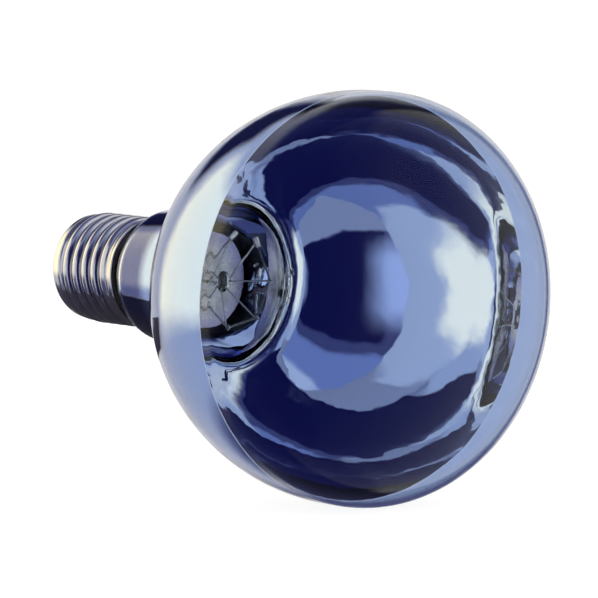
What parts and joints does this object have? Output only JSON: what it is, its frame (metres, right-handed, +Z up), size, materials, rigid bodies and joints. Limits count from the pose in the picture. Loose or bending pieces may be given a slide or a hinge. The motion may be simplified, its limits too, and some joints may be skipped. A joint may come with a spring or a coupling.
{
  "type": "reflector floodlight bulb",
  "caption": "Blue-tinted reflector flood lamp: a blown bulb silvered inside behind a clear domed front, with a filament mount in its throat and a rolled screw cap.",
  "frame": {"origin": "centre of the flat on the end contact, on the lamp's axis", "axes": "+X along the lamp's axis from the cap to the front, +Z up as the lamp is pictured lying level"},
  "size_m": [0.1355, 0.095, 0.095],
  "materials": {
    "tinted_glass": "clear blue-tinted blown glass",
    "mirror_film": "bright evaporated aluminium",
    "plated_cap": "bright nickel plate, lightly brushed by rolling",
    "black_glass": "glossy black glass",
    "contact_brass": "bright brass",
    "solder": "dull solder",
    "cement": "matt cement",
    "clear_glass": "clear lead glass",
    "seal_wire": "copper-sheathed wire, red where the glass wets it",
    "copper_wire": "bare copper",
    "nickel_wire": "drawn nickel wire",
    "shield_metal": "thin bright disc",
    "support_wire": "drawn molybdenum wire",
    "tungsten": "dark coiled tungsten wire"
  },
  "bodies": {
    "root": {"glass_bulb": "tinted_glass", "mirror_coating": "mirror_film", "screw_shell": "plated_cap", "cap_insulator": "black_glass", "contact_plate": "contact_brass", "contact_solder": "solder", "rim_solder": "solder", "cap_cement": "cement", "stem": "clear_glass", "exhaust_tube": "clear_glass", "support_rod": "clear_glass", "seal_wire_1": "seal_wire", "seal_wire_2": "seal_wire", "contact_lead": "copper_wire", "shell_lead": "copper_wire", "inner_lead_1": "nickel_wire", "inner_lead_2": "nickel_wire", "heat_shield": "shield_metal", "filament": "tungsten", "support_wire_1": "support_wire", "support_wire_2": "support_wire", "support_wire_3": "support_wire", "support_wire_4": "support_wire", "support_wire_5": "support_wire"}
  },
  "joints": []
}
